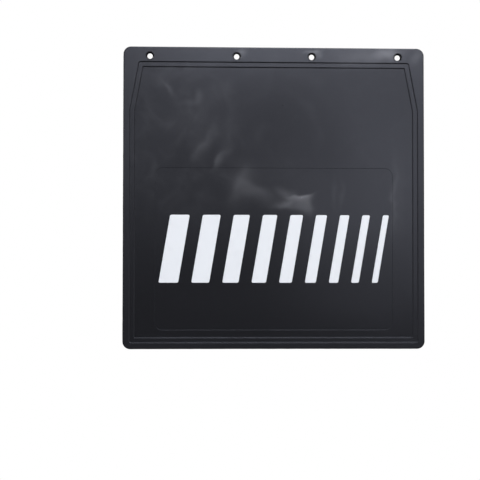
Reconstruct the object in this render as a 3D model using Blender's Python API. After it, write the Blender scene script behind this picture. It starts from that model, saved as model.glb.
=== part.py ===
"""Mud flap for a truck or trailer: a moulded black rubber sheet with white rubber bars inlaid in its face.

Run it with  blender --background --python part.py  or from Blender's text editor.

The model is in metres, +Z up, hanging as in use, with its moulded face towards -Y. The origin lies on the
flat back face, midway along the row of bolt holes. Outlines are drawn as they look from the front, as
(x, z) points that run counter-clockwise.
"""

import math

import bmesh
import bpy
from mathutils import Vector

# Sheet
SHEET_WIDTH = 0.400
SHEET_HEIGHT = 0.400
BORDER_THICKNESS = 0.0050
SHEET_CORNER_RADIUS = 0.010
EDGE_ROUNDING = 0.0012

# Bolt holes, in one row along the top border, which narrow from front to back
HOLE_FRONT_DIAMETER = 0.0105
HOLE_BACK_DIAMETER = 0.0070
HOLE_DROP = 0.012  # top edge to the centres of the holes
OUTER_HOLE_INSET = 0.035  # side edge to the centre of the outer hole
INNER_HOLE_SPACING = 0.100

# Frame: the thick border steps down to a narrow shelf, and the shelf to the field. Insets are to the foot
# of the outer step.
FRAME_SIDE_INSET = 0.0088
FRAME_BOTTOM_INSET = 0.0084
FRAME_TOP_INSET = 0.0200
SHOULDER_INSET = 0.0210  # side edge to the frame's top corners
SHOULDER_DROP = 0.0835  # top edge to where the slanted shoulders meet the upright sides
FRAME_CORNER_RADIUS = 0.0025
SHELF_WIDTH = 0.0060
SHELF_STEP = 0.0012  # border down to the shelf
FIELD_STEP = 0.0011  # shelf down to the field
FIELD_CORNER_RADIUS = 0.0010

# Emblem panel: a rounded rectangle sunk a little below the field
PANEL_SIDE_INSET = 0.0424
PANEL_BOTTOM_INSET = 0.0250
PANEL_HEIGHT = 0.2145
PANEL_CORNER_RADIUS = 0.010
PANEL_STEP = 0.0003

# White bars: slanted stripes that grow thinner from left to right, in a row centred on the panel's height
BAR_COUNT = 9
BAR_HEIGHT = 0.090
BAR_FIRST_WIDTH = 0.026
BAR_LAST_WIDTH = 0.008
BAR_CORNER_RADIUS = 0.0020
BAR_EDGE_ROUNDING = 0.0004
BAR_SLANT = math.radians(9.6)
BAR_ROW_INSET = 0.0046  # panel side to the end of the row
BAR_SEAT_DEPTH = 0.0010
BAR_PROUD = 0.0010  # how far a bar's face stands out of the panel
SEAT_GAP = 0.0003  # room all round a bar in its seat, for the bond

WALL_LEAN = 0.5  # how far the wall of a moulded step leans back for each unit of its depth
CUTTER_REACH = 0.001  # how far a cutter stands clear of the faces that it passes through
ARC_STEPS = 8
HOLE_SIDES = 40
RIM_SEGMENTS = 3

TOP = HOLE_DROP
BOTTOM = TOP - SHEET_HEIGHT
RIGHT = SHEET_WIDTH / 2
LEFT = -RIGHT

# Depths along Y, from the back face at 0 towards the front
BACK_Y = 0.0
BORDER_Y = -BORDER_THICKNESS
SHELF_Y = BORDER_Y + SHELF_STEP
FIELD_Y = SHELF_Y + FIELD_STEP
PANEL_Y = FIELD_Y + PANEL_STEP
SEAT_Y = PANEL_Y + BAR_SEAT_DEPTH
BAR_FACE_Y = PANEL_Y - BAR_PROUD


def clear_scene():
    """Removes every object of the scene that the script starts in."""
    for obj in list(bpy.data.objects):
        bpy.data.objects.remove(obj)


def rubber(name, colour, roughness):
    """A Principled BSDF material for one colour of rubber."""
    material = bpy.data.materials.new(name)
    material.use_nodes = True
    shader = material.node_tree.nodes["Principled BSDF"]
    shader.inputs["Base Color"].default_value = (*colour, 1.0)
    shader.inputs["Roughness"].default_value = roughness
    shader.inputs["Metallic"].default_value = 0.0
    return material


def rectangle(left, right, bottom, top):
    """Corners of an upright rectangle."""
    return [Vector((left, bottom)), Vector((right, bottom)), Vector((right, top)), Vector((left, top))]


def neighbours(corners):
    """Each corner of a closed outline with the one before it and the one after it."""
    return zip(corners[-1:] + corners[:-1], corners, corners[1:] + corners[:1])


def moved_in(corners, distance):
    """Corners of the outline whose sides lie inside these by one distance, or outside if it is negative."""
    moved = []
    for before, corner, after in neighbours(corners):
        to_before = (before - corner).normalized()
        to_after = (after - corner).normalized()
        half_angle = to_before.angle(to_after) / 2
        inwards = (to_before + to_after).normalized()
        moved.append(corner + inwards * (distance / math.sin(half_angle)))
    return moved


def filleted(corners, radius):
    """Points along an outline whose corners are arcs of one radius."""
    points = []
    for before, corner, after in neighbours(corners):
        to_before = (before - corner).normalized()
        to_after = (after - corner).normalized()
        half_angle = to_before.angle(to_after) / 2
        inwards = (to_before + to_after).normalized()
        centre = corner + inwards * (radius / math.sin(half_angle))
        first = corner + to_before * (radius / math.tan(half_angle)) - centre
        start = math.atan2(first.y, first.x)
        sweep = math.pi - 2 * half_angle
        for step in range(ARC_STEPS + 1):
            angle = start + sweep * step / ARC_STEPS
            points.append(centre + radius * Vector((math.cos(angle), math.sin(angle))))
    return points


def closed_loop(bm, points, y):
    """Adds a closed ring of edges through (x, z) points at one depth, and returns its vertices and edges."""
    verts = [bm.verts.new((point.x, y, point.y)) for point in points]
    edges = [bm.edges.new((a, b)) for a, b in zip(verts, verts[1:] + verts[:1])]
    return verts, edges


def linked_object(name, bm):
    """Puts the mesh that bm holds into the scene as an object, and frees bm."""
    mesh = bpy.data.meshes.new(name)
    bm.to_mesh(mesh)
    bm.free()
    obj = bpy.data.objects.new(name, mesh)
    bpy.context.scene.collection.objects.link(obj)
    return obj


def loft(name, front, front_y, back, back_y):
    """A closed solid between a front outline and a back outline of as many points."""
    bm = bmesh.new()
    front_verts, front_edges = closed_loop(bm, front, front_y)
    back_verts, back_edges = closed_loop(bm, back, back_y)
    bmesh.ops.bridge_loops(bm, edges=front_edges + back_edges)
    bm.faces.new(front_verts)
    bm.faces.new(back_verts)
    bmesh.ops.recalc_face_normals(bm, faces=bm.faces)
    return linked_object(name, bm)


def soften(obj, width):
    """Rounds the front and back rims of a flat solid."""
    bevel = obj.modifiers.new("rim", "BEVEL")
    bevel.width = width
    bevel.segments = RIM_SEGMENTS
    bevel.limit_method = "ANGLE"
    bevel.angle_limit = math.radians(40)


def cut(target, cutter):
    """Subtracts a cutter from a solid and keeps the cutter out of the model."""
    cutter.hide_render = True
    cutter.display_type = "WIRE"
    boolean = target.modifiers.new(cutter.name, "BOOLEAN")
    boolean.operation = "DIFFERENCE"
    boolean.solver = "EXACT"
    boolean.object = cutter


def sunk_area(name, corners, radius, open_y, floor_y):
    """A cutter that sinks an area from open_y to floor_y. Its outline at the floor is the given one, and its
    wall leans outwards from there."""
    lean = (floor_y - open_y + CUTTER_REACH) * WALL_LEAN
    mouth = filleted(moved_in(corners, -lean), radius + lean)
    return loft(name, mouth, open_y - CUTTER_REACH, filleted(corners, radius), floor_y)


def frame_corners():
    """Corners of the frame line, with its slanted shoulders at the top."""
    side = RIGHT - FRAME_SIDE_INSET
    shoulder = RIGHT - SHOULDER_INSET
    bottom = BOTTOM + FRAME_BOTTOM_INSET
    top = TOP - FRAME_TOP_INSET
    shoulder_foot = TOP - SHOULDER_DROP
    right_half = [(side, bottom), (side, shoulder_foot), (shoulder, top)]
    left_half = [(-x, z) for x, z in reversed(right_half)]
    return [Vector(corner) for corner in right_half + left_half]


def panel_corners():
    """Corners of the emblem panel."""
    foot = BOTTOM + PANEL_BOTTOM_INSET
    return rectangle(LEFT + PANEL_SIDE_INSET, RIGHT - PANEL_SIDE_INSET, foot, foot + PANEL_HEIGHT)


def hole_centres():
    """X of each bolt hole, from left to right."""
    outer = RIGHT - OUTER_HOLE_INSET
    inner = INNER_HOLE_SPACING / 2
    return [-outer, -inner, inner, outer]


def circle(radius):
    """Points round a circle about the origin."""
    angles = [math.tau * side / HOLE_SIDES for side in range(HOLE_SIDES)]
    return [radius * Vector((math.cos(angle), math.sin(angle))) for angle in angles]


def bolt_hole(name, x):
    """A tapered cutter through the sheet at one bolt hole."""
    front, back = HOLE_FRONT_DIAMETER / 2, HOLE_BACK_DIAMETER / 2
    widening = (front - back) * CUTTER_REACH / BORDER_THICKNESS
    wide, narrow = circle(front + widening), circle(back - widening)
    hole = loft(name, wide, BORDER_Y - CUTTER_REACH, narrow, BACK_Y + CUTTER_REACH)
    hole.data.shade_smooth()
    hole.location.x = x
    return hole


def bar_places():
    """Centre and width of each white bar, (x, z, width), from left to right, with equal gaps between."""
    row_left = LEFT + PANEL_SIDE_INSET + BAR_ROW_INSET
    row_right = RIGHT - PANEL_SIDE_INSET - BAR_ROW_INSET
    middle = BOTTOM + PANEL_BOTTOM_INSET + PANEL_HEIGHT / 2
    lean = BAR_HEIGHT * math.tan(BAR_SLANT)
    thinning = (BAR_FIRST_WIDTH - BAR_LAST_WIDTH) / (BAR_COUNT - 1)
    widths = [BAR_FIRST_WIDTH - thinning * number for number in range(BAR_COUNT)]
    gap = (row_right - row_left - lean - sum(widths)) / (BAR_COUNT - 1)
    places = []
    left = row_left + lean / 2
    for width in widths:
        places.append((left + width / 2, middle, width))
        left += width + gap
    return places


def bar_corners(width):
    """Corners of a bar of one width, about its own centre, leaning to the right."""
    half_width, half_height = width / 2, BAR_HEIGHT / 2
    lean = half_height * math.tan(BAR_SLANT)
    corners = rectangle(-half_width, half_width, -half_height, half_height)
    return [Vector((x + math.copysign(lean, z), z)) for x, z in corners]


def white_bar(name, x, z, width, material):
    """One white bar, sitting in its seat with the seat gap under it."""
    outline = filleted(bar_corners(width), BAR_CORNER_RADIUS)
    bar = loft(name, outline, BAR_FACE_Y, outline, SEAT_Y - SEAT_GAP)
    bar.location = (x, 0.0, z)
    bar.data.materials.append(material)
    soften(bar, BAR_EDGE_ROUNDING)
    return bar


def bar_seat(name, x, z, width):
    """The cutter for a bar's seat, wider than the bar by the seat gap on every side."""
    outline = filleted(moved_in(bar_corners(width), -SEAT_GAP), BAR_CORNER_RADIUS + SEAT_GAP)
    seat = loft(name, outline, BORDER_Y - CUTTER_REACH, outline, SEAT_Y)
    seat.location = (x, 0.0, z)
    return seat


def flap_sheet(material):
    """The moulded sheet: a rounded square blank with its stepped face, bolt holes and bar seats."""
    outline = filleted(rectangle(LEFT, RIGHT, BOTTOM, TOP), SHEET_CORNER_RADIUS)
    sheet = loft("flap_sheet", outline, BORDER_Y, outline, BACK_Y)
    sheet.data.materials.append(material)
    soften(sheet, EDGE_ROUNDING)
    field_corners = moved_in(frame_corners(), SHELF_WIDTH)
    cut(sheet, sunk_area("cut_shelf", frame_corners(), FRAME_CORNER_RADIUS, BORDER_Y, SHELF_Y))
    cut(sheet, sunk_area("cut_field", field_corners, FIELD_CORNER_RADIUS, SHELF_Y, FIELD_Y))
    cut(sheet, sunk_area("cut_panel", panel_corners(), PANEL_CORNER_RADIUS, FIELD_Y, PANEL_Y))
    for number, place in enumerate(bar_places(), 1):
        cut(sheet, bar_seat(f"cut_seat_{number}", *place))
    for number, x in enumerate(hole_centres(), 1):
        cut(sheet, bolt_hole(f"cut_bolt_hole_{number}", x))
    return sheet


def main():
    """Builds the sheet and its bars, and hangs them all on one empty."""
    clear_scene()
    black = rubber("black_rubber", (0.016, 0.016, 0.018), 0.42)
    white = rubber("white_rubber", (0.80, 0.83, 0.89), 0.50)
    flap = bpy.data.objects.new("mud_flap", None)
    bpy.context.scene.collection.objects.link(flap)
    pieces = [flap_sheet(black)]
    for number, place in enumerate(bar_places(), 1):
        pieces.append(white_bar(f"white_bar_{number}", *place, white))
    for piece in pieces:
        piece.parent = flap


main()
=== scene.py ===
"""Looks of a moulded rubber mud flap: its skin, its white inlaid bars and the plain studio it hangs in.

Everything is in metres, in the frame's own axes: X to the right, Z up, and the moulded face towards -Y.
Outlines are drawn as they look from the front, as (x, z) points that run counter-clockwise.
"""

import logging
import math
from dataclasses import dataclass
from enum import Enum
from typing import Any, Iterable, Optional, Sequence, Union

import bmesh
import bpy
import numpy as np
from mathutils import Matrix, Quaternion, Vector, noise
from mathutils.geometry import delaunay_2d_cdt


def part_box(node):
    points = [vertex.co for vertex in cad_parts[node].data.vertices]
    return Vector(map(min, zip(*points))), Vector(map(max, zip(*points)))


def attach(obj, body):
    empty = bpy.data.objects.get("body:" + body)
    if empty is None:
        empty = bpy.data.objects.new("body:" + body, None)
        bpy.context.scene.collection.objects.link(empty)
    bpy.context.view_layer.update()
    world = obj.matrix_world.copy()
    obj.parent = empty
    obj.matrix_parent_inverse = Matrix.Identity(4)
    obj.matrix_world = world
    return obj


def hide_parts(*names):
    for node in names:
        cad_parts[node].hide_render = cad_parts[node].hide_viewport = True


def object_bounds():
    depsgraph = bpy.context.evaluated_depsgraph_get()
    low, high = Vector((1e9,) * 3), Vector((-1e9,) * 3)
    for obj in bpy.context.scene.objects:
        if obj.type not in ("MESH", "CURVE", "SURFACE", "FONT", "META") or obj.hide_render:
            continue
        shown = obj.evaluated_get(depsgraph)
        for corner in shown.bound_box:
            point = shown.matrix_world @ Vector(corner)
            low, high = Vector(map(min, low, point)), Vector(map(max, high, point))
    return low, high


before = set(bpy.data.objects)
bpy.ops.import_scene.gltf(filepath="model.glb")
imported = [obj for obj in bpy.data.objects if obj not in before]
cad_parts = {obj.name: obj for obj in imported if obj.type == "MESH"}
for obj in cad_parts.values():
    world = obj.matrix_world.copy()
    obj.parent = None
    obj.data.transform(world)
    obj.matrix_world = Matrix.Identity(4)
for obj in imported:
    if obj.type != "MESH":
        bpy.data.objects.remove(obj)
CAD_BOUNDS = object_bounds()

LOG = logging.getLogger("mud_flap")
ROOT = "root"
SHEET_NODE = "flap_sheet"
BAR_PREFIX = "white_bar_"
POLISH = "polish"  # the sheet's point attribute that tells its surfaces apart
LEAST_RADIUS = 0.0002
SAME_PLACE = 1e-7  # points no farther apart than this count as one
FILL_CLEARANCE = 0.6  # how far the points added to an area keep from its edges, as a share of their pitch
FILLET_PARTS = 8
WELD_DISTANCE = 0.000002
WHITE_LIGHT = (1.0, 1.0, 1.0, 1.0)

Place = tuple[float, float, float]
Colour = tuple[float, float, float]
Span = tuple[float, float]
Number = Union["Signal", float]


class Slot(Enum):
    """The record's material slots."""

    BLACK = "black_rubber"
    WHITE = "white_rubber"


class Surface(Enum):
    """The surfaces of the sheet, and each one's polish: 1 is wavy with pale streaks of painted sheen, 0
    even, and -1 raw rubber.
    """

    BORDER = 1.0
    SHELF = 0.45
    BACK = 0.5
    PANEL = 0.05
    FIELD = 0.0
    EDGE = -0.6
    BORE = -1.0


# ---------------------------------------------------------------------------------------------------------
# Node trees
# ---------------------------------------------------------------------------------------------------------


@dataclass(frozen=True)
class Signal:
    """The output of a node. Arithmetic on signals adds the Math nodes that work it out."""

    wiring: "Wiring"
    socket: Optional[bpy.types.NodeSocket]

    def __add__(self, other: Number) -> "Signal":
        """This signal plus another."""
        return self.wiring.maths("ADD", self, other)

    def __radd__(self, other: Number) -> "Signal":
        """A number plus this signal."""
        return self.wiring.maths("ADD", other, self)

    def __sub__(self, other: Number) -> "Signal":
        """This signal less another."""
        return self.wiring.maths("SUBTRACT", self, other)

    def __rsub__(self, other: Number) -> "Signal":
        """A number less this signal."""
        return self.wiring.maths("SUBTRACT", other, self)

    def __mul__(self, other: Number) -> "Signal":
        """This signal times another."""
        return self.wiring.maths("MULTIPLY", self, other)

    def __rmul__(self, other: Number) -> "Signal":
        """A number times this signal."""
        return self.wiring.maths("MULTIPLY", other, self)

    def __truediv__(self, other: Number) -> "Signal":
        """This signal divided by another."""
        return self.wiring.maths("DIVIDE", self, other)

    def __rtruediv__(self, other: Number) -> "Signal":
        """A number divided by this signal."""
        return self.wiring.maths("DIVIDE", other, self)

    def __abs__(self) -> "Signal":
        """This signal without its sign."""
        return self.wiring.maths("ABSOLUTE", self)

    def other(self, output: Union[str, int]) -> "Signal":
        """Another output of the same node."""
        return Signal(self.wiring, self.socket.node.outputs[output])


class Wiring:
    """Adds nodes to one node tree and wires them together."""

    def __init__(self, tree: bpy.types.NodeTree) -> None:
        """Starts on a tree as it is."""
        self.tree = tree

    def node(
        self,
        kind: str,
        settings: Optional[dict[str, Any]] = None,
        inputs: Optional[dict[Union[str, int], Any]] = None,
        output: Union[str, int] = 0,
    ) -> Signal:
        """Adds a node.

        Args:
            kind: The node's type.
            settings: Its properties.
            inputs: A value or a signal for each of its inputs, by name or number.
            output: The output that the signal stands for.

        Returns:
            The signal of that output.
        """
        node = self.tree.nodes.new(kind)
        for name, value in (settings or {}).items():
            setattr(node, name, value)
        for key, value in (inputs or {}).items():
            self.feed(node.inputs[key], value)
        return Signal(self, node.outputs[output] if node.outputs else None)

    def feed(self, socket: bpy.types.NodeSocket, value: Any) -> None:
        """Links a signal to an input, or sets the input to a value.

        Args:
            socket: The input.
            value: The signal or the value.
        """
        if isinstance(value, Signal):
            self.tree.links.new(value.socket, socket)
        else:
            socket.default_value = value

    def maths(self, operation: str, *numbers: Number) -> Signal:
        """A Math node on one, two or three numbers."""
        return self.node("ShaderNodeMath", {"operation": operation}, dict(enumerate(numbers)))

    def larger(self, first: Number, second: Number) -> Signal:
        """The larger of two numbers."""
        return self.maths("MAXIMUM", first, second)

    def vector_maths(self, operation: str, first: Any, second: Any) -> Signal:
        """A Vector Math node on two vectors."""
        return self.node("ShaderNodeVectorMath", {"operation": operation}, {0: first, 1: second})

    def parts(self, vector: Signal) -> tuple[Signal, Signal, Signal]:
        """X, Y and Z of a vector."""
        x = self.node("ShaderNodeSeparateXYZ", inputs={0: vector})
        return x, x.other(1), x.other(2)

    def joined(self, x: Number, y: Number, z: Number) -> Signal:
        """A vector of three numbers."""
        return self.node("ShaderNodeCombineXYZ", inputs={0: x, 1: y, 2: z})

    def length(self, across: Signal, up: Signal) -> Signal:
        """The length of a flat vector."""
        return self.maths("SQRT", across * across + up * up)

    def fade(self, value: Number, start: float, end: float) -> Signal:
        """A smooth rise from 0 to 1.

        Args:
            value: What it depends on.
            start: The value at which it is 0.
            end: The value at which it is 1, which may be below start.

        Returns:
            The rise.
        """
        return self.node(
            "ShaderNodeMapRange",
            {"interpolation_type": "SMOOTHSTEP"},
            {"Value": value, "From Min": start, "From Max": end},
        )

    def bell(self, square: Signal, half: float) -> Signal:
        """A bell curve: 1 where the given square is 0, a half where it reaches its second argument."""
        return self.maths("EXPONENT", square * (-math.log(2) / half))

    def clouds(self, place: Signal, size: Number, detail: float = 2.0, warp: float = 0.0) -> Signal:
        """Noise from about 0 to 1.

        Args:
            place: Where it is read.
            size: About how wide its largest blotches are.
            detail: How many finer layers it has.
            warp: How far it is stirred.

        Returns:
            The noise.
        """
        return self.node(
            "ShaderNodeTexNoise",
            inputs={"Vector": place, "Scale": 1.0 / size, "Detail": detail, "Distortion": warp},
        )

    def streaks(self, place: Signal, size: float, stretch: float) -> Signal:
        """Noise whose blotches are about as wide as its size, and stretched upright by its last argument."""
        return self.clouds(self.vector_maths("MULTIPLY", place, (1.0, 1.0, 1.0 / stretch)), size, detail=1.0)

    def mixed(self, share: Number, first: Any, second: Any) -> Signal:
        """A colour between two, second's share growing with the first argument."""
        return self.node("ShaderNodeMix", {"data_type": "RGBA"}, {0: share, 6: first, 7: second}, 2)


def empty_material(name: str) -> tuple[bpy.types.Material, Wiring]:
    """A material without any nodes.

    Args:
        name: Its name.

    Returns:
        The material, and the wiring that adds its nodes.
    """
    material = bpy.data.materials.new(name)
    material.use_nodes = True
    material.node_tree.nodes.clear()
    return material, Wiring(material.node_tree)


def show(wiring: Wiring, shader: Signal, kind: str = "ShaderNodeOutputMaterial") -> None:
    """Ends a tree in its output node."""
    wiring.node(kind, inputs={"Surface": shader})


# ---------------------------------------------------------------------------------------------------------
# Finishes
# ---------------------------------------------------------------------------------------------------------


@dataclass(frozen=True)
class PaintedSheenMark:
    """A pale patch of painted sheen or painted highlight on the moulded face: a soft oval that may taper and
    bend.
    """

    x: float
    z: float
    length: float
    width: float
    turn: float  # degrees, anticlockwise from lying along X
    strength: float
    taper: float = 0.0  # how much wider it is at the end that it points to, and narrower at the other
    bend: float = 0.0  # how far its ends curl towards its left side, as a share of its length
    brim: float = 0.0  # how much more abruptly its left side ends than its right side
    stop: float = 0.0  # how much more abruptly the end that it points to ends than the other
    least_width: float = 0.1  # of its own width, where it tapers
    half_at: float = 0.53  # where it has faded to a half, as the square of a distance in half sizes

    def share(self, wiring: Wiring, x: Signal, z: Signal) -> Signal:
        """How much of the patch shows at a place.

        Args:
            wiring: The tree.
            x: The place's x.
            z: The place's z.

        Returns:
            The share, from 0 to the patch's strength.
        """
        angle = math.radians(self.turn)
        across, up = x - self.x, z - self.z
        along = (across * math.cos(angle) + up * math.sin(angle)) / (self.length / 2)
        aside = (up * math.cos(angle) - across * math.sin(angle)) / (self.width / 2)
        if self.bend:
            aside = aside - along * along * (self.bend * self.length / self.width)
        if self.taper:
            aside = aside / wiring.larger(along * self.taper + 1.0, self.least_width)
        if self.brim:
            aside = aside + wiring.larger(aside, 0.0) * self.brim
        if self.stop:
            along = along + wiring.larger(along, 0.0) * self.stop
        return wiring.bell(along * along + aside * aside, self.half_at) * self.strength


@dataclass(frozen=True)
class PaintedSheenArc:
    """A faint pale arc of painted sheen round the middle of the field, along a flow mark where a front of
    rubber stood as it flowed.
    """

    radius: float
    bearing: float  # degrees, anticlockwise from +X to the arc's middle
    sweep: float  # degrees
    width: float
    strength: float
    end_fade: float = 0.7  # how fast it fades towards its ends, beside how fast it does aside
    half_at: float = 0.25  # where it has faded to a half, as the square of a distance in widths

    def share(self, wiring: Wiring, across: Signal, up: Signal) -> Signal:
        """How much of the arc shows at a place.

        Args:
            wiring: The tree.
            across: How far the place lies to the right of the arc's centre.
            up: How far it lies above the centre.

        Returns:
            The share, from 0 to the arc's strength.
        """
        bearing = math.radians(self.bearing)
        forwards = across * math.cos(bearing) + up * math.sin(bearing)
        aside = up * math.cos(bearing) - across * math.sin(bearing)
        turn = wiring.maths("ARCTAN2", aside, forwards)
        turned = turn / (math.radians(self.sweep) / 2)
        off = (wiring.length(across, up) - self.radius) / self.width
        return wiring.bell(off * off + turned * turned * self.end_fade, self.half_at) * self.strength


@dataclass(frozen=True)
class BlackRubber:
    """Semi-gloss moulded black rubber, wavy on the border and evener on the field, with painted sheen: pale
    streaks on the border, pale arcs and patches on the face, and painted highlights round the bolt holes.
    """

    colour: Colour = (0.0106, 0.0108, 0.0128)
    # the pale colour that painted sheen and a random mottle mix into the base colour
    painted_sheen_and_mottle: Colour = (0.240, 0.244, 0.268)
    sheen: Colour = (0.785, 0.825, 1.0)
    field_roughness: float = 0.224
    border_roughness: float = 0.285
    specular: float = 0.42
    raw_polish: Span = (0.0, -0.8)  # where it turns from moulded to raw
    painted_sheen_and_mottle_roughness: float = 0.10
    mottle_size: float = 0.0018
    mottle_bloom: float = 0.020
    mottle_roughness: float = 0.02
    grain_size: float = 0.0006
    grain_height: float = 0.0000012
    wave_size: float = 0.022
    wave_stretch: float = 3.0
    wave_height: float = 0.00007
    field_waves: float = 0.25  # how wavy the field is, where the border has 1 more
    stir_size: float = 0.025
    stir_reach: float = 0.014
    face_depths: Span = (-0.0013, -0.0019)  # behind the first, there is no painted sheen of arcs and marks
    upper_heights: Span = (-0.26, -0.14)  # the z at which the upper part sets in, and is full
    left_places: Span = (-0.01, -0.11)  # the x at which the left part sets in, and is full
    break_size: float = 0.034
    break_warp: float = 0.2
    arc_painted_sheen: float = 2.6
    back_painted_sheen: float = 0.10
    patch_size: float = 0.030
    patch_warp: float = 0.6
    patch_painted_sheen: Span = (0.20, 0.03)  # what the left side adds, and what is everywhere
    patch_loss: float = 0.8  # the share of it that the border lacks
    streak_size: float = 0.024
    streak_stretch: float = 3.0
    streak_painted_sheen: Span = (0.022, 0.008)  # what the upper part adds, and what is everywhere
    flow_centre: Span = (-0.0075, -0.109)
    # pale arcs of painted sheen along the flow marks round the flow's centre
    arcs: tuple[PaintedSheenArc, ...] = (
        PaintedSheenArc(0.016, 140, 220, 0.012, 0.024),
        PaintedSheenArc(0.060, 165, 130, 0.014, 0.038),
        PaintedSheenArc(0.068, 40, 110, 0.012, 0.022),
        PaintedSheenArc(0.092, 150, 110, 0.016, 0.032),
        PaintedSheenArc(0.096, 60, 90, 0.016, 0.015),
        PaintedSheenArc(0.130, 140, 70, 0.018, 0.020),
    )
    # pale patches of painted sheen on the face
    painted_sheen_marks: tuple[PaintedSheenMark, ...] = (
        PaintedSheenMark(0.035, -0.187, 0.030, 0.011, 6, 0.28, 0.3, 0.10, 1.5),
        PaintedSheenMark(0.047, -0.184, 0.034, 0.012, 14, 0.20, 0.2, 0.12, 2.0, 1.0),
        PaintedSheenMark(0.045, -0.194, 0.044, 0.027, 0, 0.19, 0.6, 0.0, 0.5, 2.5),
        PaintedSheenMark(0.014, -0.196, 0.028, 0.011, 14, 0.18, 0.0, 0.10),
        PaintedSheenMark(0.026, -0.201, 0.042, 0.008, -4, 0.07),
        PaintedSheenMark(0.018, -0.184, 0.032, 0.013, -24, 0.13),
        PaintedSheenMark(0.030, -0.196, 0.050, 0.020, -10, 0.06),
        PaintedSheenMark(-0.024, -0.178, 0.050, 0.024, -24, 0.12, 0.0, 0.0, 0.5),
        PaintedSheenMark(-0.042, -0.164, 0.044, 0.030, 66, 0.12, 0.0, 0.0, 0.4),
        PaintedSheenMark(-0.054, -0.180, 0.040, 0.022, 80, 0.05),
        PaintedSheenMark(-0.076, -0.139, 0.026, 0.013, 62, 0.13, -0.2, 0.0, 1.0),
        PaintedSheenMark(-0.066, -0.129, 0.028, 0.014, 48, 0.05),
        PaintedSheenMark(-0.091, -0.113, 0.046, 0.018, 55, 0.08, 0.2, 0.05, 0.5),
        PaintedSheenMark(-0.102, -0.128, 0.034, 0.012, 66, 0.04),
        PaintedSheenMark(-0.099, -0.054, 0.024, 0.013, 84, 0.09, 0.0, 0.0, 0.0, 0.5),
        PaintedSheenMark(-0.112, -0.062, 0.028, 0.010, 4, 0.05),
        PaintedSheenMark(-0.139, -0.044, 0.024, 0.008, -50, 0.09, 0.3),
        PaintedSheenMark(-0.150, -0.032, 0.030, 0.018, -48, 0.03),
        PaintedSheenMark(-0.120, -0.085, 0.050, 0.030, 28, 0.025),
        PaintedSheenMark(0.080, -0.183, 0.040, 0.008, 90, 0.035),
        PaintedSheenMark(0.090, -0.183, 0.040, 0.007, 90, 0.035),
        PaintedSheenMark(0.160, -0.187, 0.090, 0.009, 90, 0.075),
        PaintedSheenMark(0.166, -0.185, 0.110, 0.022, 90, 0.030),
        PaintedSheenMark(-0.005, -0.165, 0.130, 0.080, -12, 0.020),
        # painted highlights: bright flares on the top border round the bolt holes
        PaintedSheenMark(0.122, 0.001, 0.080, 0.028, 0, 0.17),
        PaintedSheenMark(0.148, 0.007, 0.038, 0.016, 4, 0.28),
        PaintedSheenMark(0.153, 0.002, 0.026, 0.014, 12, 0.20),
        PaintedSheenMark(0.053, 0.006, 0.018, 0.007, 10, 0.35),
        PaintedSheenMark(0.058, 0.001, 0.010, 0.012, 90, 0.15),
        PaintedSheenMark(-0.045, 0.004, 0.014, 0.010, 40, 0.24),
        PaintedSheenMark(0.190, 0.001, 0.022, 0.012, 60, 0.13),
    )

    def material(self) -> bpy.types.Material:
        """Builds the material.

        Returns:
            The material.
        """
        material, wiring = empty_material(Slot.BLACK.value)
        place = wiring.node("ShaderNodeTexCoord", output="Object")
        polish = wiring.node("ShaderNodeAttribute", {"attribute_name": POLISH}, output="Fac")
        mottle = wiring.clouds(place, self.mottle_size, detail=3.0) - 0.5
        # painted sheen, with a random mottle, mixed into the base colour
        painted_sheen_and_mottle = self._painted_sheen(wiring, place, polish) + mottle * self.mottle_bloom
        roughness = polish * (self.border_roughness - self.field_roughness) + self.field_roughness
        moulded = wiring.node(
            "ShaderNodeBsdfPrincipled",
            inputs={
                "Base Color": wiring.mixed(painted_sheen_and_mottle, (*self.colour, 1.0), (*self.painted_sheen_and_mottle, 1.0)),
                "Roughness": roughness + painted_sheen_and_mottle * self.painted_sheen_and_mottle_roughness + mottle * self.mottle_roughness,
                "Specular IOR Level": self.specular,
                "Specular Tint": (*self.sheen, 1.0),
                "Normal": self._relief(wiring, place, polish),
            },
        )
        raw = wiring.node(
            "ShaderNodeBsdfPrincipled",
            inputs={"Base Color": (*self.colour, 1.0), "Roughness": 1.0, "Specular IOR Level": 0.0},
        )
        rawness = wiring.fade(polish, *self.raw_polish)
        show(wiring, wiring.node("ShaderNodeMixShader", inputs={0: rawness, 1: moulded, 2: raw}))
        return material

    def _painted_sheen(self, wiring: Wiring, place: Signal, polish: Signal) -> Signal:
        """Painted sheen: where the face is paler, in arcs along the flow marks and in patches, over a cloudy
        ground and pale streaks on the border, stronger towards the top.

        Args:
            wiring: The material's tree.
            place: The place on the sheet.
            polish: How polished the surface is there.

        Returns:
            The share of painted sheen.
        """
        stir = wiring.clouds(place, self.stir_size, detail=1.0).other("Color")
        stir = wiring.vector_maths("SUBTRACT", stir, (0.5, 0.5, 0.5))
        stir = wiring.vector_maths("MULTIPLY", stir, (self.stir_reach, 0.0, self.stir_reach))
        x, y, z = wiring.parts(wiring.vector_maths("ADD", place, stir))
        across, up = x - self.flow_centre[0], z - self.flow_centre[1]
        # painted sheen: pale arcs round the flow's centre, and pale patches and highlights on the face
        arcs = sum(arc.share(wiring, across, up) for arc in self.arcs)
        painted_sheen_marks = sum(mark.share(wiring, x, z) for mark in self.painted_sheen_marks)
        on_face = wiring.fade(y, *self.face_depths)
        # painted sheen is stronger towards the top, and its cloudy patches towards the left
        upper = wiring.fade(z, *self.upper_heights)
        left = wiring.fade(x, *self.left_places)
        broken = wiring.clouds(place, self.break_size, detail=1.0, warp=self.break_warp)
        broken = broken * broken
        patches = wiring.clouds(place, self.patch_size, warp=self.patch_warp)
        patches = patches * patches
        near_left = left * self.patch_painted_sheen[0] + self.patch_painted_sheen[1]
        ground = patches * patches * upper * near_left * (1.0 - polish * self.patch_loss)
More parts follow.
